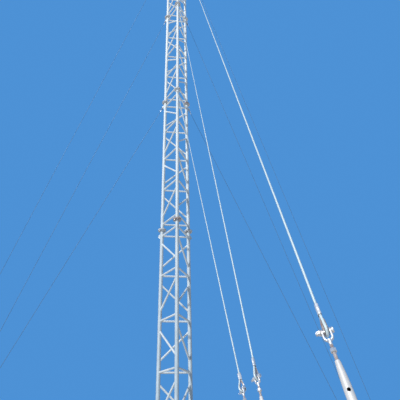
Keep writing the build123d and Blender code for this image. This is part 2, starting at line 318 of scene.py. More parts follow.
def lathe(profile, sides, loop=False):
    """Turned form: each point (r, z) of the profile is carried round Z as a level ring."""
    profile = np.asarray(profile, float)
    return skin(rounds(profile[:, :1], profile[:, 1:], even_turns(sides)), loop)


def carry(path, section, across, loop=False, scale=((1.0,),), turn=0.0):
    """Section carried along a path: point + x A + y (T x A), where T is the path's direction and A
    the across direction made square to it. The section is scaled and turned from point to point."""
    path = np.asarray(path, float)
    ahead = np.roll(path, -1, 0) - np.roll(path, 1, 0) if loop else np.gradient(path, axis=0)
    ahead = ahead / np.linalg.norm(ahead, axis=1, keepdims=True)
    across = np.broadcast_to(np.asarray(across, float), path.shape)
    across = across - ahead * (across * ahead).sum(1, keepdims=True)
    across = across / np.linalg.norm(across, axis=1, keepdims=True)
    beside = np.cross(ahead, across)
    section = np.asarray(section, float) * np.asarray(scale, float)[:, None]
    turn = np.broadcast_to(np.asarray(turn, float), len(path))[:, None]
    x = section[..., 0] * np.cos(turn) - section[..., 1] * np.sin(turn)
    y = section[..., 0] * np.sin(turn) + section[..., 1] * np.cos(turn)
    return skin(path[:, None] + x[..., None] * across[:, None] + y[..., None] * beside[:, None], loop)


def round_section(radius, sides):
    """Circle (r cos a, r sin a)."""
    return rounds(radius, 0, even_turns(sides))[:, :2]


def seam(path, radius, across, ripple, phase, sides=weld_sides, loop=True):
    """Weld along a path: a round bead of radius r (1 + a sin p), with the phase p at each point."""
    swell = 1 + ripple * np.sin(phase)
    return carry(path, round_section(radius, sides), across, loop, swell[:, None])


def bevelled(reach, low, high, edge):
    """Profile of a disc's side from one level to another, with both its edges turned off."""
    return (reach - edge, low), (reach, low + edge), (reach, high - edge), (reach - edge, high)


def place(origin, along, across):
    """Place whose Z runs along a direction and whose X is the across direction, made square to it."""
    along = np.asarray(along, float) / np.linalg.norm(along)
    across = np.asarray(across, float) - along * np.dot(across, along)
    across = across / np.linalg.norm(across)
    return np.stack((across, np.cross(along, across), along, np.asarray(origin, float)), -1)


def make_piece(name, form, material, replaced=(), groove=None, creased=True):
    """Object of a form, smooth but for its creases, on the mast's one body. The groove value of each
    point, from 0 to 1, goes into the attribute by which a finish paints shade into its recesses."""
    mesh = bpy.data.meshes.new(name)
    mesh.vertices.add(len(form.points))
    mesh.vertices.foreach_set("co", form.points.ravel())
    mesh.loops.add(len(form.corners))
    mesh.loops.foreach_set("vertex_index", form.corners)
    mesh.polygons.add(len(form.sizes))
    mesh.polygons.foreach_set("loop_start", np.cumsum(form.sizes) - form.sizes)
    mesh.update(calc_edges=True)
    if groove is not None:
        mesh.attributes.new("groove", "FLOAT", "POINT").data.foreach_set("value", groove)
    mesh.polygons.foreach_set("use_smooth", np.ones(len(mesh.polygons), bool))
    if creased:
        mesh.set_sharp_from_angle(angle=edge_angle)
    mesh.materials.append(material)
    made = add_object(name, mesh)
    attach(made, "root")
    if replaced:
        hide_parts(*replaced)


def galvanised(name, colours, roughness=0.58, metallic=0.12, rust=0.0, crystal=90.0, runs=0.0,
               relief=0.25, splash=0.0, joints=False, hollow_shade=0.0, ground_shade=0.0):
    """Zinc on steel: crystals of slightly different grey, duller clouds, pale runs down the tube, and
    stains of rust where a fine noise rises above a level that a wide noise moves. Splashed earth
    thins out at the given height above the ground, joints adds rust near the legs' flanges,
    hollow_shade is how dark the painted shade in a form's recesses is, and ground_shade is the
    share of the painted-shade colours at the ground, which falls to none at ground_shade_height."""
    material, zinc = new_material(name)
    where = zinc.node("TexCoord", output="Object")
    height = where.node("SeparateXYZ", inputs={"Vector": where}, output="Z")
    cells = where.node("TexVoronoi", inputs={"Vector": where, "Scale": crystal}, output="Color")
    cells = cells.node("SeparateColor", inputs={"Color": cells})
    clouds = where.noise(*cloud_noise).ramp(*cloud_levels)
    streaks = where.node("Mapping", inputs={"Vector": where, "Scale": run_scales}).noise(*run_noise)
    pale = runs * run_share
    tone = (cells * crystal_share + clouds * (1 - crystal_share - pale)
            + streaks.ramp(*run_levels) * pale)
    colour = tone.mix((*colours[0], 1.0), (*colours[1], 1.0))
    # Painted shade: darker, bluer colours mixed in towards the ground, fading out at ground_shade_height.
    if ground_shade:
        shaded = tone.mix((*ground_shade_colours[0], 1.0), (*ground_shade_colours[1], 1.0))
        colour = ((1 - height.ramp(0.0, ground_shade_height)) * ground_shade).mix(colour, shaded)
    # Painted shade, darkest where the groove attribute is deepest.
    if hollow_shade:
        depth = zinc.node("Attribute", {"attribute_name": "groove"}, output="Fac")
        colour = (depth * hollow_shade).mix(colour, hollow_shade_colour)
    shine = clouds * cloud_sheen + cells * crystal_sheen + (roughness - (cloud_sheen + crystal_sheen) / 2)
    if rust:
        level = where.noise(*rust_noise) + where.noise(*rust_field_noise) * rust_field_share
        if joints:
            away = height.maths("PINGPONG", height - base_height, section_length / 2)
            level = (1 - away.ramp(*joint_rust_reach)) * joint_rust + level
        stain = level.ramp(*[start - rust * rust_gain for start in rust_levels])
        colour = (stain * rust_cover).mix(colour, rust_colour)
        shine = stain * stain_roughness + shine
    if splash:
        dirt = (where.noise(*mud_noise) * splash * mud_reach - height).ramp(0.0, splash * mud_fade)
        colour = (dirt * mud_cover).mix(colour, grime_colour)
        shine = dirt * stain_roughness + shine
    surface = where.noise(*grain_noise) + cells * crystal_relief
    bump = zinc.node("Bump", inputs={"Height": surface, "Strength": relief, "Distance": relief_height})
    shader = zinc.node("BsdfPrincipled", inputs={"Base Color": colour, "Metallic": metallic,
                                                 "Roughness": shine, "Normal": bump})
    zinc.node("OutputMaterial", inputs={"Surface": shader})
    return material


def flanged_tube(bottom, top):
    """One leg of a section: its profile runs up the outside, over both flanges and the quarter-round
    welds that join them to the tube, (R + w (1 - sin a), w (1 - cos a)), and down the bore."""
    turn = np.linspace(0, pi / 2, flange_weld_points)[1:-1]
    fillet = points(leg_radius + flange_weld * (1 - np.sin(turn)), flange_weld * (1 - np.cos(turn)))
    low = np.vstack(((leg_bore, 0), bevelled(flange_radius, 0, flange_thickness, flange_chamfer),
                     (leg_radius + flange_weld, flange_thickness), fillet + (0, flange_thickness),
                     (leg_radius, flange_thickness + flange_weld)))
    high = low[::-1] * (1, -1) + (0, top - bottom)
    return lathe(np.vstack((low, high)), leg_sides, loop=True).at(place((0, 0, bottom), up, (1, 0, 0)))


def plate_outline(angle, lines, rim, rim_turn):
    """Distance from a hole to its plate's edge in a direction: to the nearest of the straight edges,
    each given by its normal's angle and distance, or to the round rim within its turn."""
    facing = np.cos(angle[:, None] - np.array([turn for turn, reach in lines])[None])
    reach = np.array([reach for turn, reach in lines])
    straight = np.where(facing > least_facing, reach / np.maximum(facing, least_facing), np.inf).min(1)
    return np.where(np.abs((angle + pi) % tau - pi) <= rim_turn, rim, straight)


def holed_plate(angle, outline, hole, thickness, chamfer):
    """Plate round a hole, in its X and Y: rings go round the outline with its chamfers, then down the
    hole, and close on themselves."""
    half = thickness / 2
    steps = bevelled(outline, -half, half, chamfer) + bevelled(hole, half, -half, -chamfer)
    return skin(np.stack([rounds(reach, z, angle) for reach, z in steps]), loop=True)


def make_lug():
    """Guy lug in its own place: X outward from the leg's axis, Y across it and Z up. Its outline is
    the tangents from the rim round the hole to the corners of its welded edge."""
    root = lug_eye - leg_radius + lug_bite
    corner_out = lug_eye - leg_radius - lug_step
    reach = hypot(corner_out, lug_height / 2)
    tangent = atan2(lug_height / 2, -corner_out) - acos(lug_rim / reach)
    lines = ((tangent, lug_rim), (-tangent, lug_rim), (pi / 2, lug_height / 2),
             (-pi / 2, lug_height / 2), (pi, root))
    corners = [sign * atan2(lug_height / 2, -x) for x in (root, corner_out) for sign in (-1, 1)]
    even = np.arange(1 - lug_points, lug_points + 1) * pi / lug_points
    angle = np.sort(np.concatenate((even, corners)))
    outline = plate_outline(angle, lines, lug_rim, tangent)
    plate = holed_plate(angle, outline, lug_hole, lug_thickness, lug_chamfer)
    upright = plate.at(place((lug_eye, 0, 0), (0, -1, 0), (1, 0, 0)))
    height = np.linspace(-lug_height / 2, lug_height / 2, lug_weld_points)
    phase = height * tau / lug_ripple_length
    for side in (-1, 1):
        y = side * (lug_thickness / 2 + lug_weld / 4)
        path = points(sqrt(leg_radius ** 2 - y ** 2), y, height)
        upright = upright + seam(path, lug_weld, (1, 0, 0), lug_ripple, phase, loop=False)
    return upright


leg_zinc = galvanised("leg_zinc", zinc_colours, rust=0.10, runs=0.5, joints=True, ground_shade=0.85)
lug = make_lug()
spans = [("base_legs", base_plate_thickness, base_height)]
spans += [(f"section_{n}_legs", flange_planes[n - 1], flange_planes[n]) for n in range(1, section_count + 1)]
for name, bottom, top in spans:
    tube = flanged_tube(bottom, top)
    legs = tube.at([place(middle, up, leg_outward[side]) for side, middle in leg_middle.items()])
    if name != "base_legs":
        lug_at = up * (top - joint_gap / 2)
        legs = legs + lug.at([place(middle + lug_at, up, leg_outward[side])
                              for side, middle in leg_middle.items()])
    make_piece(name + "_tubes", legs, leg_zinc, [name])


# Lattice: 38 mm tube between the legs, welded into three flat sides. A level rail closes each bay,
# and one diagonal crosses it, by turns to the left and to the right. Each end is cut to the round of
# its leg and has a ripple-faced weld all round, and the whole side was galvanised with the legs.
bar_radius = 0.0190
bar_sides = 20
bar_bite = 0.0012
bays_per_section = 4
base_bays = 2
diagonal_offset = 0.185
bead_radius = 0.0034
bead_sides = 6
bead_points = 32
bead_ripples = 8
bead_ripple = 0.12
bar_colours = ((0.710, 0.775, 0.810), (0.930, 0.965, 0.970))
sides = {"left": ("front", "left"), "right": ("right", "front"), "back": ("left", "right")}


def saddle_rings(start, end, count, bite):
    """A bar's direction, its points' offsets from its axis, and its rings on the two legs. A point
    meets the first leg at (sqrt(R^2 - n^2) - h) / d along the bar from that leg's axis, with R the
    leg's radius less the bite, d the bar's horizontal share, h the point's offset towards the
    second leg and n its offset across the side. At the second leg h counts the other way."""
    along = (end - start) / np.linalg.norm(end - start)
    level = along * (1, 1, 0)
    share = np.linalg.norm(level)
    level = level / share
    out = np.cross(up, level)
    angle = even_turns(count)[:, None]
    offset = bar_radius * (np.cos(angle) * out + np.sin(angle) * np.cross(along, out))
    run = np.sqrt((leg_radius - bite) ** 2 - (offset @ out) ** 2)
    near = start + offset + along * ((run - offset @ level) / share)[:, None]
    far = end + offset - along * ((run + offset @ level) / share)[:, None]
    return along, offset, near, far


def make_bar(start, end):
    """Tube from leg to leg, with a bead of weld round each end."""
    form = skin(np.stack(saddle_rings(start, end, bar_sides, bar_bite)[2:]))
    along, offset, near, far = saddle_rings(start, end, bead_points, 0.0)
    phase = even_turns(bead_points) * bead_ripples
    for ring, inward in ((near, along), (far, -along)):
        form = form + seam(ring, bead_radius, offset + inward * bar_radius, bead_ripple, phase, bead_sides)
    return form


def make_side(name, first, second, bottom, top, bays):
    """Rails and diagonals of one side between two heights."""
    rails = np.linspace(bottom, top, bays + 1)
    bars = [(height, height) for height in rails]
    for number in range(bays):
        low, high = rails[number] + diagonal_offset, rails[number + 1] - diagonal_offset
        bars.append((low, high) if number % 2 else (high, low))
    forms = [make_bar(leg_middle[first] + up * low, leg_middle[second] + up * high) for low, high in bars]
    make_piece(name + "_bars", sum(forms[1:], forms[0]), bar_zinc, [name])


# The bars take less of the painted shade towards the ground than the legs do.
bar_zinc = galvanised("bar_zinc", bar_colours, rust=0.08, runs=0.3, joints=True, ground_shade=0.35)
for side, (first, second) in sides.items():
    make_side(f"base_face_{side}", first, second, joint_gap / 2, base_height - joint_gap / 2, base_bays)
    for number in range(1, section_count + 1):
        make_side(f"section_{number}_face_{side}", first, second, flange_planes[number - 1] + joint_gap / 2,
                  flange_planes[number] - joint_gap / 2, bays_per_section)


# Flange bolts: six galvanised M16 bolts join each pair of flanges, hold the legs down on the base
# plate and the top plate on the legs. Forged hexagon heads upwards, nuts below, washers under both.
flange_bolt = 0.016
flange_bolt_circle = 0.066
flange_bolt_count = 6
top_plate_thickness = 0.012
washer_share = 0.17
head_share = 0.62
nut_share = 0.80
thread_end_share = 0.45
flats_share = 1.5
pitch_share = 1 / 8
chamfer_share = 1 / 16
groove_share = 0.58
hexagon_points = 12
washer_sides = 20
thread_sides = 12
turn_per_bolt = 2.4
turn_per_place = 1.1
bolt_colours = ((0.600, 0.610, 0.620), (0.800, 0.805, 0.810))


def hexagon(flats, low, high, chamfer):
    """Hexagon prism with its upper and lower corners turned off: at angle a its side is at
    (flats / 2) / cos(a mod 60 degrees, from the middle of the side), and its end rings are round."""
    angle = even_turns(hexagon_points)
    side = flats / 2 / np.cos((angle + pi / 6) % (pi / 3) - pi / 6)
    face = (flats - chamfer) / 2
    steps = ((face, low), (side, low + chamfer), (side, high - chamfer), (face, high))
    return skin(np.stack([rounds(reach, z, angle) for reach, z in steps]))


def nut(diameter, low, height):
    """Nut or head of a bolt, one and a half times the bolt's diameter over its flats."""
    return hexagon(diameter * flats_share, low, low + height, diameter * chamfer_share)


def washer(diameter, low, high):
    """Flat washer, twice the bolt's diameter across."""
    return lathe(bevelled(diameter, low, high, (high - low) / 4), washer_sides)


def thread(diameter, pitch, low, high):
    """Screw thread: rings a quarter of a pitch apart, whose radius falls from the crest by the groove's
    depth times a triangle wave of z / pitch - a / tau. Both ends are pointed off."""
    height = np.linspace(low, high, max(3, int(round((high - low) / pitch * 4)) + 1))[:, None]
    angle = even_turns(thread_sides)
    wave = np.abs((height / pitch - angle / tau) % 1 * 2 - 1)
    depth = groove_share * pitch
    radius = diameter / 2 - depth * wave
    radius[[0, -1]] = diameter / 2 - depth
    return skin(rounds(radius, height, angle))


def bolt(top, bottom, nutted=True):
    """Flange bolt down through a joint: head and washer above its top, washer, nut and thread below."""
    diameter, sheet = flange_bolt, flange_bolt * washer_share
    form = washer(diameter, top, top + sheet) + nut(diameter, top + sheet, diameter * head_share)
    if nutted:
        low = bottom - sheet - diameter * nut_share
        form = form + washer(diameter, bottom - sheet, bottom) + nut(diameter, low, diameter * nut_share)
        form = form + thread(diameter, diameter * pitch_share, low - diameter * thread_end_share, low)
    return form


def bolt_circle(middles, height, radius, count, first=0.0):
    """Places evenly round each middle, every one turned a little further than the last."""
    places = []
    for middle in middles:
        for number, angle in enumerate(first + even_turns(count)):
            spot = middle + up * height + radius * np.array((cos(angle), sin(angle), 0.0))
            turn = turn_per_bolt * number + turn_per_place * len(places)
            places.append(place(spot, up, (cos(turn), sin(turn), 0.0)))
    return places


bolt_zinc = galvanised("bolt_zinc", bolt_colours, roughness=0.42, metallic=0.5, rust=0.30, crystal=260.0)
joints = [("base_plate_leg_bolts", base_plate_thickness, bolt(flange_thickness, 0, nutted=False))]
joints += [(f"joint_{number + 1}_bolts", height, bolt(flange_thickness, -flange_thickness))
           for number, height in enumerate(flange_planes[:-1])]
joints.append(("top_plate_bolts", flange_planes[-1], bolt(top_plate_thickness, -flange_thickness)))
for name, height, form in joints:
    spots = bolt_circle(leg_middle.values(), height, flange_bolt_circle, flange_bolt_count, pi / 6)
    make_piece(name, form.at(spots), bolt_zinc)


# Base plate: flame-cut from 25 mm steel and galvanised. Six M24 foundation bolts hold it down, each
# with a washer, a nut and a thinner lock nut on its cut thread.
foundation_bolt = 0.024
foundation_circle = 0.200
foundation_count = 6
thin_nut_share = 0.50
thin_nut_turn = 0.4
plate_colours = ((0.560, 0.580, 0.600), (0.780, 0.795, 0.810))


def holding_down(diameter, height):
    """Threaded end of an anchor bolt that stands in concrete, from the plate's surface up."""
    sheet, full, thin = diameter * washer_share, diameter * nut_share, diameter * thin_nut_share
    turned = place((0, 0, 0), up, (cos(thin_nut_turn), sin(thin_nut_turn), 0))
    low = height + full + thin
    return (washer(diameter, height, height + sheet) + nut(diameter, height + sheet, full)
            + nut(diameter, height + sheet + full, thin).at(turned)
            + thread(diameter, diameter * pitch_share, low, low + diameter))


def dress(name, material):
    """Gives a node that keeps its own shape a finished material."""
    for slot in nodes[name].material_slots:
        slot.material = material


plate_zinc = galvanised("plate_zinc", plate_colours, roughness=0.50, metallic=0.35, rust=0.22,
                        crystal=70.0, runs=0.1)
dress("base_plate", plate_zinc)
spots = bolt_circle([up * 0], 0, foundation_circle, foundation_count, leg_angles["front"])
make_piece("foundation_bolts", holding_down(foundation_bolt, base_plate_thickness).at(spots), bolt_zinc)


# Top plate and lightning rod: a 12 mm plate closes the legs, and the socket welded on it holds a
# pointed 20 mm galvanised bar, 1.5 m long, clamped by two set screws.
socket_radius = 0.02415
socket_weld = 0.004
socket_weld_points = 48
socket_ripples = 12
socket_ripple = 0.10
rod_radius = 0.010
rod_length = 1.500
rod_point = 0.060
rod_tip = 0.0025
rod_taper = 1.4
rod_point_rings = 7
rod_sides = 24
set_screw = 0.008
set_screw_pitch = 0.00125
set_screw_head = (0.004, 0.009)
set_screw_chamfer = 0.0005
set_screw_heights = (0.045, 0.115)
lightning_rod_colours = ((0.560, 0.570, 0.585), (0.760, 0.770, 0.780))

dress("top_plate", plate_zinc)
mast_top = flange_planes[-1] + top_plate_thickness
curve = np.linspace(0, 1, rod_point_rings)
point = points(rod_radius - (rod_radius - rod_tip) * curve ** rod_taper,
               rod_length - rod_point * (1 - curve))
rod_profile = np.vstack(([(rod_radius, 0), (rod_radius, rod_length / 2)], point))
rod_zinc = galvanised("rod_zinc", lightning_rod_colours, roughness=0.40, metallic=0.55, rust=0.05,
                      crystal=200.0, runs=0.5)
make_piece("lightning_rod_bar", lathe(rod_profile, rod_sides).at(place(up * mast_top, up, (1, 0, 0))),
           rod_zinc, ["lightning_rod"])
turn = even_turns(socket_weld_points)
ring = rounds(socket_radius, mast_top, turn)
socket_bead = seam(ring, socket_weld, ring - up * mast_top, socket_ripple, turn * socket_ripples)
screws = (hexagon(set_screw * flats_share, *set_screw_head, set_screw_chamfer)
          + thread(set_screw, set_screw_pitch, -set_screw_head[0], set_screw_head[0]))
screws = screws.at([place((socket_radius, 0, mast_top + height), (1, 0, 0), up)
                    for height in set_screw_heights])
make_piece("rod_socket_trim", socket_bead + screws, bolt_zinc)


# Wires: nine guys of 10 mm galvanised wire rope, six strands laid round a core, bright in front; at
# the left and right the same rope is given darker blue colours, painted shade and a painted blue sky
# reflection. Each is bent round a thimble at both ends into an eye, which an oval sleeve of soft
# alloy closes, with the shallow steps that the press leaves. Painted shade darkens the grooves
# between the strands and the sleeve's two ends.
guy_levels = (2, 3, 4)
anchor_height = 0.250
inner_anchor_radius = 6.110
outer_anchor_radius = 6.968
inner_pin_spacing = 0.056
turnbuckle_pin_reach = {2: 1.982, 3: 1.857, 4: 1.813}
jaw_turn = {("front", 2): radians(80), ("front", 3): radians(58), ("front", 4): radians(30)}
eye_swing = {("front", 3): radians(-12), ("front", 4): radians(-12)}
rope_radius = 0.005
rope_groove = 0.0042
rope_lay = 0.075
rings_per_lay = {"front": 12, "left": 8, "right": 8}
line_points = 12
eye_points = 24
eye_step = 0.0047
eye_hidden = 0.004
sleeve_length = 0.051
sleeve_thickness = 0.014
sleeve_width = 0.024
sleeve_sides = 24
sleeve_steps = ((0, 0.80), (0.001, 0.90), (0.003, 0.97), (0.006, 1.0), (0.0135, 1.0), (0.0145, 0.97),
                (0.0235, 0.97), (0.0245, 1.0), (0.0335, 1.0), (0.0345, 0.97), (0.045, 0.97),
                (0.048, 0.96), (0.050, 0.90), (sleeve_length, 0.80))
# How much painted shade each point along the sleeve takes: dark at both ends.
sleeve_mouth_shade = ((0, 1.0), (0.002, 1.0), (0.0045, 0), (0.046, 0), (sleeve_length, 0.6))
tail_length = 0.006
thimble_inner_radius = 0.012
thimble_sheet = 0.003
thimble_length = 0.056
thimble_width = 0.015
thimble_seat = 0.0002
shackle_rod = 0.012
shackle_gap = 0.020
shackle_reach = 0.052
jaw_pin = 0.012
body_reach = 0.106
body_length = 0.360
rope_colours = ((0.735, 0.895, 0.975), (0.815, 0.958, 1.000))
shaded_rope_colours = ((0.110, 0.215, 0.350), (0.190, 0.310, 0.460))
sleeve_colours = ((0.720, 0.735, 0.745), (0.860, 0.865, 0.870))


class Guy:
    """One guy's straight line, from the hole of its lug to its pin on the anchor. The upper thimble
    hangs in the shackle's bow, which is r - sqrt(r^2 - s^2) higher at the edges of the strip that
    bears on it, with r half the shackle's gap and s half the strip's width. The turnbuckle is turned
    about the line by the guy's jaw_turn, and the lower eye by its eye_swing more."""

    def __init__(self, side, level):
        self.name = f"{side}_wire_{level}"
        self.side = side
        outward = leg_outward[side]
        self.across = np.cross(up, outward)
        self.top = leg_middle[side] + outward * lug_eye + up * (flange_planes[level] - joint_gap / 2)
        if level == guy_levels[-1]:
            pin_radius = outer_anchor_radius
        else:
            middle_level = (guy_levels[0] + guy_levels[-2]) / 2
            pin_radius = inner_anchor_radius + (level - middle_level) * inner_pin_spacing
        self.foot = outward * pin_radius + up * anchor_height
        self.length = np.linalg.norm(self.foot - self.top)
        self.down = (self.foot - self.top) / self.length
        self.jaw_turn = jaw_turn.get((side, level), 0.0)
        self.eye_turn = self.jaw_turn + eye_swing.get((side, level), 0.0)
        strip_half = thimble_width / 2 - thimble_sheet
        bow_rise = shackle_gap / 2 - sqrt((shackle_gap / 2) ** 2 - strip_half ** 2)
        self.top_crown = shackle_reach - shackle_rod / 2 - bow_rise - thimble_seat + thimble_inner_radius
        self.turnbuckle_pin = self.length - turnbuckle_pin_reach[level]
        self.low_crown = self.turnbuckle_pin + jaw_pin / 2 + thimble_seat - thimble_inner_radius
        self.low_pin = self.turnbuckle_pin + 2 * body_reach + body_length

    def seat(self, distance, turn=0.0, upward=False):
        """Place on the guy: Z runs down it, or up it, and X across it, turned about its line."""
        across = self.across * cos(turn) + np.cross(self.down, self.across) * sin(turn)
        return place(self.top + self.down * distance, self.down * (-1 if upward else 1), across)

    def eye_seats(self):
        """Places of the round ends of the guy's two eyes."""
        return [self.seat(self.top_crown), self.seat(self.low_crown, self.eye_turn, upward=True)]


def eye_path(radius, half_gap, length, step):
    """Path round an eye in its YZ plane: down a straight line that touches the round end, round the
    end by equal turns, and up the other line. The touching point's angle from +Z is
    atan(gap / length) + acos(radius / distance of the line's start)."""
    touch = atan2(half_gap, length) + acos(radius / hypot(length, half_gap))
    start = np.array((half_gap, length))
    meet = np.array((radius * sin(touch), radius * cos(touch)))
    count = ceil(np.linalg.norm(start - meet) / step)
    line = start + (meet - start) * (np.arange(count) / count)[:, None]
    turn = np.linspace(touch, tau - touch, ceil((tau - 2 * touch) * radius / step * 2) + 1)
    arc = points(radius * np.sin(turn), radius * np.cos(turn))
    half = np.vstack((line, arc, line[::-1] * (-1, 1)))
    return np.column_stack((half[:, 0] * 0, half))


def strands(count):
    """Section of six strands, and how deep in a groove each of its points is: at angle a the depth is
    1 - |sin 3 a|, and the radius falls by that share of the way from crown to groove."""
    angle = even_turns(count)
    depth = 1 - np.abs(np.sin(3 * angle))
    return rounds(rope_radius - (rope_radius - rope_groove) * depth, 0, angle)[:, :2], depth


def oval(half_x, half_y, count, power=2.6):
    """Rounded oval: |x / a| ^ p + |y / b| ^ p = 1."""
    side = rounds(1, 0, even_turns(count))[:, :2]
    return np.sign(side) * np.abs(side) ** (2 / power) * (half_x, half_y)


def run_length(path):
    """Distance along a path at each of its points."""
    return np.concatenate(([0.0], np.cumsum(np.linalg.norm(np.diff(path, axis=0), axis=1))))


eye_radius = thimble_inner_radius + thimble_sheet + rope_radius
line_strands, line_depth = strands(line_points)
eye_strands, eye_depth = strands(eye_points)
loop_path = eye_path(eye_radius, rope_radius, thimble_length + eye_hidden, eye_step)
eye = carry(loop_path, eye_strands, (1, 0, 0), turn=run_length(loop_path) * tau / rope_lay)
tail_at = thimble_length + sleeve_length
tail_path = points(0, rope_radius, (tail_at - eye_step, tail_at, tail_at + tail_length))
eye = eye + carry(tail_path, eye_strands, (1, 0, 0), turn=tail_path[:, 2] * tau / rope_lay)
eye_groove = np.tile(eye_depth, len(eye.points) // eye_points)

# Painted shade darkens the grooves between the strands.
rope_zinc = galvanised("rope_zinc", rope_colours, roughness=0.42, metallic=0.10, crystal=600.0,
                       relief=0.3, hollow_shade=0.25)
# Side guys: the same rope as in front, in colours of painted shade and a painted blue sky reflection.
shaded_rope_zinc = galvanised("painted_shade_rope_zinc", shaded_rope_colours, roughness=0.50, metallic=0.35, crystal=600.0,
                       relief=0.4, hollow_shade=0.2)
guys = [Guy(side, level) for side in leg_angles for level in guy_levels]
for guy in guys:
    step = rope_lay / rings_per_lay[guy.side]
    near = guy.top_crown + thimble_length + sleeve_length - step
    far = guy.low_crown - thimble_length - sleeve_length + step
    distance = np.linspace(near, far, int(round((far - near) / step)) + 1)
    line = guy.top + guy.down * distance[:, None]
    rope = carry(line, line_strands, guy.across, turn=distance * tau / rope_lay)
    groove = np.concatenate((np.tile(line_depth, len(line)), eye_groove, eye_groove))
    finish = rope_zinc if guy.side == "front" else shaded_rope_zinc
    make_piece(guy.name + "_rope", rope + eye.at(guy.eye_seats()), finish, [guy.name], groove,
               creased=False)

along, swell = np.transpose(sleeve_steps)
sleeve = carry(points(0, 0, along + thimble_length),
               oval(sleeve_thickness / 2, sleeve_width / 2, sleeve_sides), (1, 0, 0), scale=swell[:, None])
# Painted shade darkens the sleeve's two ends.
sleeve_alloy = galvanised("sleeve_alloy", sleeve_colours, roughness=0.36, metallic=0.35, crystal=500.0,
                          relief=0.1, hollow_shade=0.9)
seats = [seat for guy in guys for seat in guy.eye_seats()]
mouth_shade = np.repeat(np.interp(along, *np.transpose(sleeve_mouth_shade)), sleeve_sides)
make_piece("rope_sleeves", sleeve.at(seats), sleeve_alloy,
           groove=np.tile(mouth_shade, len(seats)))


# Thimbles: pear-shaped liners pressed from 3 mm steel sheet, hollowed outside so that the rope lies
# in them, and galvanised. They bear on the shackle's bow above and on the turnbuckle's pin below.
thimble_flare = 0.0062
thimble_narrowing = 0.90
thimble_lip = 0.5
thimble_half_point = 0.0006
thimble_tip_gap = 0.004
thimble_tip_width = 0.55
thimble_taper = 0.020
thimble_step = 0.006
channel_points = 9
forged_colours = ((0.560, 0.565, 0.575), (0.880, 0.880, 0.875))
thimble_colours = ((0.420, 0.400, 0.390), (0.660, 0.640, 0.630))


def channel():
    """Section of the liner: with s from -1 to 1, the inside is (w s, -f s^2) and the outside lies one
    sheet's thickness beyond it, tapering to half of that at the lips."""
    s = np.linspace(1, -1, channel_points)
    inside = points(thimble_width / 2 * s, -thimble_flare * s ** 2)
    sheet = points(0, thimble_sheet * (1 - thimble_lip * s ** 2))
    return np.vstack((inside, inside[::-1] * (thimble_narrowing, 1) - sheet))


liner_path = eye_path(thimble_inner_radius, thimble_half_point, thimble_length - thimble_tip_gap,
                      thimble_step)
reach = np.minimum(run_length(liner_path), run_length(liner_path)[::-1])
narrow = thimble_tip_width + (1 - thimble_tip_width) * np.clip(reach / thimble_taper, 0, 1)
liner = carry(liner_path, channel(), (1, 0, 0), scale=narrow[:, None])
forged_zinc = galvanised("forged_zinc", forged_colours, roughness=0.38, metallic=0.60, rust=0.22,
                         crystal=160.0, relief=0.5)
# The thimbles' darker colours are partly the steel's own and partly painted shade, for the shadow inside the
# eyes.
thimble_zinc = galvanised("thimble_zinc", thimble_colours, roughness=0.44, metallic=0.45, rust=0.52,
                          crystal=200.0, relief=0.4)
make_piece("thimble_liners", liner.at(seats), thimble_zinc, ["thimbles"])


# Shackles: forged bows with an eye at each end, hung from the lugs by a hexagon-headed 16 mm pin
# with a nut and a split pin. Galvanised, with brown rust starting on the pins.
shackle_pin = 0.016
shackle_pin_length = 0.066
shackle_ear = 0.014
shackle_ear_thickness = 0.014
shackle_sides = 14
ear_sides = 28
ear_rings = 9
ear_rim_share = 0.72
ear_crown_share = 0.28
ear_roundness = 0.98
bow_points = 17
rise_points = 6
pin_edge = 0.001
pin_sides = 20
pin_cap_radii = (1.55, 1.65, 1.45)
pin_cap_edges = (0.0008, 0.0012)
pin_cap_sides = 24
pin_washer = 0.0025
pin_washer_share = 0.95
pin_nut_share = 0.55
split_pin_share = 0.20
split_pin_reach = 0.55
split_pin_turn = 0.7
split_pin_place = 0.0045
split_eye_share = 2.2
split_eye_rise = 2.6
split_straight = 0.2
split_curl = 1.6
split_eye_turns = (-0.4 * pi, 1.4 * pi)
split_eye_points = 13
split_leg_points = 4
split_end_points = 5


def half_turn(radius, straight, low):
    """U in the XZ plane: up one side from a low point, round the top by equal turns a, at
    (r cos a, z + r sin a), and down the other side."""
    turn = np.linspace(0, pi, bow_points)
    arc = points(radius * np.cos(turn), 0, straight + radius * np.sin(turn))
    rise = points(radius, 0, np.linspace(low, straight, rise_points)[:-1])
    return np.vstack((rise, arc, rise[::-1] * (-1, 1, 1)))


def split_pin(radius, reach, wire):
    """Split pin along Z: an open eye above and two legs through the hole, whose ends spread below by
    a power of the run."""
    turn = np.linspace(*split_eye_turns, split_eye_points)
    eye_part = rounds(wire * split_eye_share, 0, turn)[:, (0, 2, 1)]
    eye_part = eye_part + (0, 0, radius + wire * split_eye_rise)
    end = -radius - reach * split_straight
    spread = np.linspace(0, 1, split_end_points)[1:]
    leg = np.vstack((points(wire / 2, 0, np.linspace(radius, end, split_leg_points)),
                     points(wire / 2 + reach * spread ** split_curl, 0,
                            end - reach * (1 - split_straight) * spread)))
    path = np.vstack((leg[::-1] * (-1, 1, 1), eye_part[::-1], leg))
    return carry(path, round_section(wire / 2, 6), (0, 1, 0))


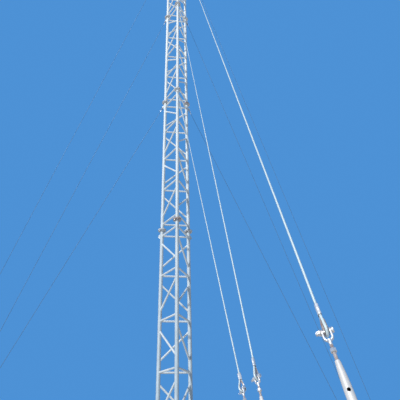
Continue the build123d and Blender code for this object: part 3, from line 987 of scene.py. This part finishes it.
def cross_pin(diameter, left, right, face, round_head=False):
    """Pin along X from -left to right: a head beyond one face, a nut beyond the other, a split pin."""
    radius = diameter / 2
    form = lathe(bevelled(radius, -left, right, pin_edge), pin_sides)
    if round_head:
        heights = (face, face + pin_cap_edges[0], right - pin_cap_edges[1], right)
        inner, rim, crown = [radius * share for share in pin_cap_radii]
        form = form + lathe(points((inner, rim, rim, crown), heights), pin_cap_sides)
    else:
        form = form + hexagon(diameter * flats_share, face, right, diameter * chamfer_share)
    height = diameter * pin_nut_share
    form = form + washer(diameter * pin_washer_share, -face - pin_washer, -face)
    form = form + nut(diameter, -face - pin_washer - height, height)
    aside = (cos(split_pin_turn), sin(split_pin_turn), 0)
    split = split_pin(radius, diameter * split_pin_reach, diameter * split_pin_share)
    form = form + split.at(place((0, 0, split_pin_place - left), aside, np.cross(up, aside)))
    return form.at(place((0, 0, 0), (1, 0, 0), (0, 1, 0)))


bow_radius = (shackle_gap + shackle_rod) / 2
bow = carry(half_turn(bow_radius, shackle_reach - bow_radius, 0.0),
            round_section(shackle_rod / 2, shackle_sides), (0, 1, 0))
half_ear = shackle_ear_thickness / 2
ear_curve = np.linspace(-1, 1, ear_rings)
ear_swell = np.sqrt(1 - ear_curve ** 2 * ear_roundness)
ear_profile = points(shackle_ear * (ear_rim_share + ear_crown_share * ear_swell), half_ear * ear_curve)
ear = lathe(ear_profile, ear_sides).at([place((x, 0, 0), (1, 0, 0), (0, 1, 0))
                                        for x in (-bow_radius, bow_radius)])
pin = cross_pin(shackle_pin, shackle_pin_length / 2, shackle_pin_length / 2, bow_radius + half_ear)
make_piece("shackle_set", (bow + ear + pin).at([guy.seat(0) for guy in guys]), forged_zinc,
           ["upper_shackles"])


# Turnbuckle jaws: forged forks with a 12 mm screw. The fork takes the rope's eye, or the anchor
# rod's, on a cross pin with a nut and a split pin. A nut locks the screw against the body.
jaw_gap = 0.020
jaw_width = 0.036
jaw_depth = 0.020
jaw_crown = 0.038
jaw_end_steps = (0.0005, 0.0015, 0.003, 0.005, 0.0075)
jaw_end_least = 0.02
jaw_side_start = 0.001
jaw_roundness = 2.8
jaw_sides = 16
waist_start = 0.6
waist_narrowing = 0.45
waist_swelling = 0.10
screw_radius = 0.006
neck_steps = ((0.0085, -0.006), (0.0080, 0), (0.0066, 0.004), (screw_radius, 0.008))
neck_end = (0.0048, 0.051)
pin_left = 0.036
pin_right = 0.0255
screw_pitch = 0.0025
smooth_shank = 0.050
lock_nut_at = 0.064
lock_nut_height = 0.0125
lock_nut_flats = 0.0195
lock_nut_chamfer = 0.0010
screw_hidden = 0.006
screw_colours = ((0.560, 0.490, 0.480), (0.820, 0.760, 0.745))


def smooth(share):
    """Smooth step: s^2 (3 - 2 s)."""
    return share ** 2 * (3 - 2 * share)


def fork(crown):
    """Fork in its own place: its strap, jaw_width over its sides, is carried round a U, its two ends
    rounded about the pin: half depth sqrt(1 - (1 - s)^2), with s the run from the end over half
    the depth. It is deeper than wide at the eyes and rounder at the crown."""
    strap = (jaw_width - jaw_gap) / 2
    radius = (jaw_gap + strap) / 2
    path = half_turn(radius, crown - strap / 2 - radius, jaw_side_start)
    ends = np.array(jaw_end_steps)
    low = points(radius, 0, ends - jaw_depth / 2)
    path = np.vstack((low, path, low[::-1] * (-1, 1, 1)))
    run = np.minimum(run_length(path), run_length(path)[::-1]) + ends[0]
    depth = np.sqrt(np.maximum(1 - (1 - np.minimum(run / (jaw_depth / 2), 1)) ** 2, jaw_end_least))
    waist = smooth(np.clip((run - jaw_depth * waist_start) / jaw_depth, 0, 1))
    return carry(path, oval(jaw_depth / 2, strap / 2, jaw_sides, jaw_roundness), (0, 1, 0),
                 scale=points(depth * (1 - waist_narrowing * waist), 1 + waist_swelling * waist))


neck = lathe([(radius, jaw_crown + rise) for radius, rise in neck_steps]
             + [(screw_radius, smooth_shank), neck_end], pin_sides)
lock_nut = hexagon(lock_nut_flats, lock_nut_at, lock_nut_at + lock_nut_height, lock_nut_chamfer)
jaw_pin_form = cross_pin(jaw_pin, pin_left, pin_right, jaw_width / 2, round_head=True)
jaw_seats = [seat for guy in guys for seat in (guy.seat(guy.turnbuckle_pin, guy.jaw_turn),
                                               guy.seat(guy.low_pin, upward=True))]
make_piece("turnbuckle_forks", (fork(jaw_crown) + neck + lock_nut + jaw_pin_form).at(jaw_seats),
           forged_zinc, ["turnbuckle_jaws"])
screw = thread(screw_radius * 2, screw_pitch, smooth_shank, body_reach + screw_hidden)
screw_zinc = galvanised("screw_zinc", screw_colours, roughness=0.40, metallic=0.45, rust=0.34,
                        crystal=300.0, relief=0.5)
make_piece("turnbuckle_screws", screw.at(jaw_seats), screw_zinc)


# Turnbuckle bodies: lengths of 28 mm steel pipe, each end drawn down hot to a tapped nose, with a
# peep hole through both walls near each nose that shows how far the screw has entered. Galvanised.
body_radius = 0.014
body_wall = 0.0032
body_nose = 0.110
nose_radius = 0.0085
nose_bore = 0.0062
nose_bore_length = 0.066
nose_edge = 0.0008
body_sides = 48
body_turn = radians(20)
peep_radius = 0.006
peep_hole_reach = 0.098
peep_border = 0.008
peep_half_cells = 4
peep_rings = 5
pipe_rings = (nose_edge, 0.004, 0.010, 0.020, 0.032, 0.046, nose_bore_length, 0.078)
ring_past_peep = 0.114
merge_digits = 7
body_colours = ((0.680, 0.670, 0.660), (0.820, 0.810, 0.800))


def body_wall_radii(height):
    """Outside and inside radius of the pipe: with s the distance from the nearer end over the nose's
    length, at most 1, the outside is R - (R - tip) (1 - s)^2, and the bore widens behind the thread."""
    near = np.minimum(height, body_length - height)
    share = np.minimum(near / body_nose, 1)
    outside = body_radius - (body_radius - nose_radius) * (1 - share) ** 2
    inside = np.interp(near, (0, nose_bore_length, body_nose),
                       (nose_bore, nose_bore, body_radius - body_wall))
    return outside, inside


def merge_points(form):
    """The form with points that coincide made one, and points that no face uses left out."""
    merged, number = np.unique(np.round(form.points, merge_digits), axis=0, return_inverse=True)
    used, corners = np.unique(number.ravel()[form.corners], return_inverse=True)
    return Form(merged[used], corners.ravel(), form.sizes)


def pierced_pipe():
    """Pipe turned about Z from its profile, up the outside and down the inside. The quads round each
    peep hole are left out, and a strip fills each gap: from the gap's edge to the hole's circle
    (u = r cos p, z = r sin p, on the wall where the other coordinate is sqrt(R^2 - u^2)), through
    the wall, and out to the edge of the gap inside."""
    border = np.linspace(-peep_border, peep_border, peep_rings)
    height = np.concatenate(([0.0], pipe_rings, peep_hole_reach + border, [ring_past_peep]))
    height = np.concatenate((height, body_length - height[::-1]))
    outside, inside = body_wall_radii(height)
    outside[[0, -1]] -= nose_edge
    profile = np.vstack((points(outside, height), points(inside, height)[::-1]))
    pipe = lathe(profile, body_sides, loop=True)
    quads = pipe.corners.reshape(-1, 4)
    middle = pipe.points[quads].mean(1)
    cell = tau / body_sides
    from_side = np.abs(np.abs(np.arctan2(middle[:, 1], middle[:, 0])) - pi / 2)
    from_hole = np.abs(np.minimum(middle[:, 2], body_length - middle[:, 2]) - peep_hole_reach)
    kept = (from_side > peep_half_cells * cell) | (from_hole > peep_border)
    form = Form(pipe.points, quads[kept].ravel(), pipe.sizes[kept])
    run = np.arange(-peep_half_cells, peep_half_cells) * cell
    rise = border[:-1]
    edge_turn = np.concatenate((run, rise * 0 - run[0], -run, rise * 0 + run[0]))
    edge_rise = np.concatenate((run * 0 - peep_border, rise, run * 0 + peep_border, -rise))
    for centre in (peep_hole_reach, body_length - peep_hole_reach):
        rings = []
        for wall, order in ((0, (0, 1)), (1, (1, 0))):
            edge = body_wall_radii(centre + edge_rise)[wall]
            square = points(-edge * np.sin(edge_turn), edge * np.cos(edge_turn), centre + edge_rise)
            turn = np.arctan2(edge_rise, body_radius * edge_turn)
            u, z = peep_radius * np.cos(turn), centre + peep_radius * np.sin(turn)
            circle = points(-u, np.sqrt(body_wall_radii(z)[wall] ** 2 - u ** 2), z)
            rings += [(square, circle)[number] for number in order]
        strip = skin(np.stack(rings), caps=False)
        form = form + strip.at([place((0, 0, 0), up, (1, 0, 0)), place((0, 0, 0), up, (-1, 0, 0))])
    return merge_points(form)


body_zinc = galvanised("body_zinc", body_colours, roughness=0.50, metallic=0.18, rust=0.06, crystal=110.0,
                       runs=0.3, hollow_shade=1.0)
pipe = pierced_pipe()
outside, inside = body_wall_radii(pipe.points[:, 2])
# How deep into the bore each point lies: the share of painted shade inside the pipe.
bore = np.clip((outside - np.hypot(pipe.points[:, 0], pipe.points[:, 1])) / (outside - inside), 0, 1)
for side in leg_angles:
    spots = [guy.seat(guy.turnbuckle_pin + body_reach, body_turn) for guy in guys if guy.side == side]
    make_piece(f"{side}_pipe_bodies", pipe.at(spots), body_zinc,
               [f"{side}_turnbuckle_bodies"], np.tile(bore, len(spots)))


# Anchor rods: 20 mm galvanised bars forged to a fork over the anchor's ear, pinned like the jaws,
# and to a flat drilled eye in the turnbuckle's lower jaw.
anchor_crown = 0.054
anchor_rod_radius = 0.010
anchor_rod_sides = 24
root_steps = ((0.0125, -0.007), (0.0122, -0.001), (0.0108, 0.005), (anchor_rod_radius, 0.012))
rod_eye_radius = 0.022
rod_eye_thickness = 0.015
rod_eye_hole = 0.0063
rod_eye_edge = 0.0015
rod_eye_sides = 32
rod_neck = 0.060
rod_neck_end = 0.017
rod_neck_thinness = 0.92
rod_neck_breadth = 0.40
rod_neck_rings = 9
anchor_rod_colours = ((0.560, 0.570, 0.580), (0.760, 0.770, 0.775))


def rod_end_eye(height):
    """The flat eye across X, and the neck below it, whose round section flattens into the eye by a
    smooth step."""
    ring = holed_plate(even_turns(rod_eye_sides), rod_eye_radius, rod_eye_hole, rod_eye_thickness,
                       rod_eye_edge).at(place((0, 0, height), (1, 0, 0), (0, 1, 0)))
    share = np.linspace(0, 1, rod_neck_rings)
    blend = smooth(share)
    path = points(0, 0, height - rod_neck + (rod_neck - rod_neck_end) * share)
    thin = 1 - blend * (1 - rod_neck_thinness * rod_eye_thickness / 2 / anchor_rod_radius)
    return ring + carry(path, round_section(anchor_rod_radius, anchor_rod_sides), (1, 0, 0),
                        scale=points(thin, 1 + rod_neck_breadth * blend))


def anchor_rod(guy):
    """One guy's rod, from its pin in the anchor up to its eye in the turnbuckle."""
    eye_height = guy.length - guy.low_pin
    bar = lathe([(radius, anchor_crown + rise) for radius, rise in root_steps]
                + [(anchor_rod_radius, eye_height - rod_neck)], anchor_rod_sides)
    rod = fork(anchor_crown) + bar + rod_end_eye(eye_height) + jaw_pin_form
    return rod.at(guy.seat(guy.length, upward=True))


anchor_rod_zinc = galvanised("anchor_rod_zinc", anchor_rod_colours, roughness=0.46, rust=0.16,
                             crystal=180.0, runs=0.4)
for side in leg_angles:
    rods = [anchor_rod(guy) for guy in guys if guy.side == side]
    make_piece(f"{side}_anchor_bars", sum(rods[1:], rods[0]), anchor_rod_zinc,
               [f"{side}_anchor_rods"])


# Anchors: a 14 mm ear welded upright on a 16 mm plate, flame-cut and galvanised. Four M20 anchor
# bolts hold each one down. Splashed earth and rust have dulled them near the ground.
anchor_plate_thickness = 0.016
anchor_bolt = 0.020
anchor_bolt_circle = 0.110
anchor_bolt_count = 4
anchor_bolt_turn = radians(45)
ear_half = 0.007
ear_base_half = 0.130
ear_weld = 0.006
ear_weld_points = 160
ear_weld_ripple = 0.12
ear_weld_gap = 1e-4
ear_weld_spread = (1.5, 3)
anchor_colours = ((0.540, 0.550, 0.555), (0.760, 0.770, 0.775))

anchor_zinc = galvanised("anchor_zinc", anchor_colours, roughness=0.55, metallic=0.30, rust=0.38,
                         crystal=70.0, runs=0.2, splash=0.05)
turn = even_turns(ear_weld_points)
reach = np.clip(ear_weld_spread[0] * ear_base_half * np.cos(turn), -ear_base_half, ear_base_half)
beside = np.clip(ear_weld_spread[1] * ear_half * np.sin(turn), -ear_half, ear_half)
weld_path = points(reach, beside, anchor_plate_thickness)
moved = np.linalg.norm(weld_path - np.roll(weld_path, 1, 0), axis=1)
weld_path = weld_path[moved > ear_weld_gap]
ear_seam = seam(weld_path, ear_weld, up, ear_weld_ripple, np.arange(len(weld_path)) * pi / 2)
for side, outward in leg_outward.items():
    dress(f"{side}_anchors", anchor_zinc)
    middles = [outward * inner_anchor_radius, outward * outer_anchor_radius]
    seams = ear_seam.at([place(middle, up, outward) for middle in middles])
    make_piece(f"{side}_anchor_welds", seams, anchor_zinc)
    spots = bolt_circle(middles, 0, anchor_bolt_circle, anchor_bolt_count,
                        leg_angles[side] + anchor_bolt_turn)
    make_piece(f"{side}_anchor_bolts", holding_down(anchor_bolt, anchor_plate_thickness).at(spots),
               bolt_zinc)
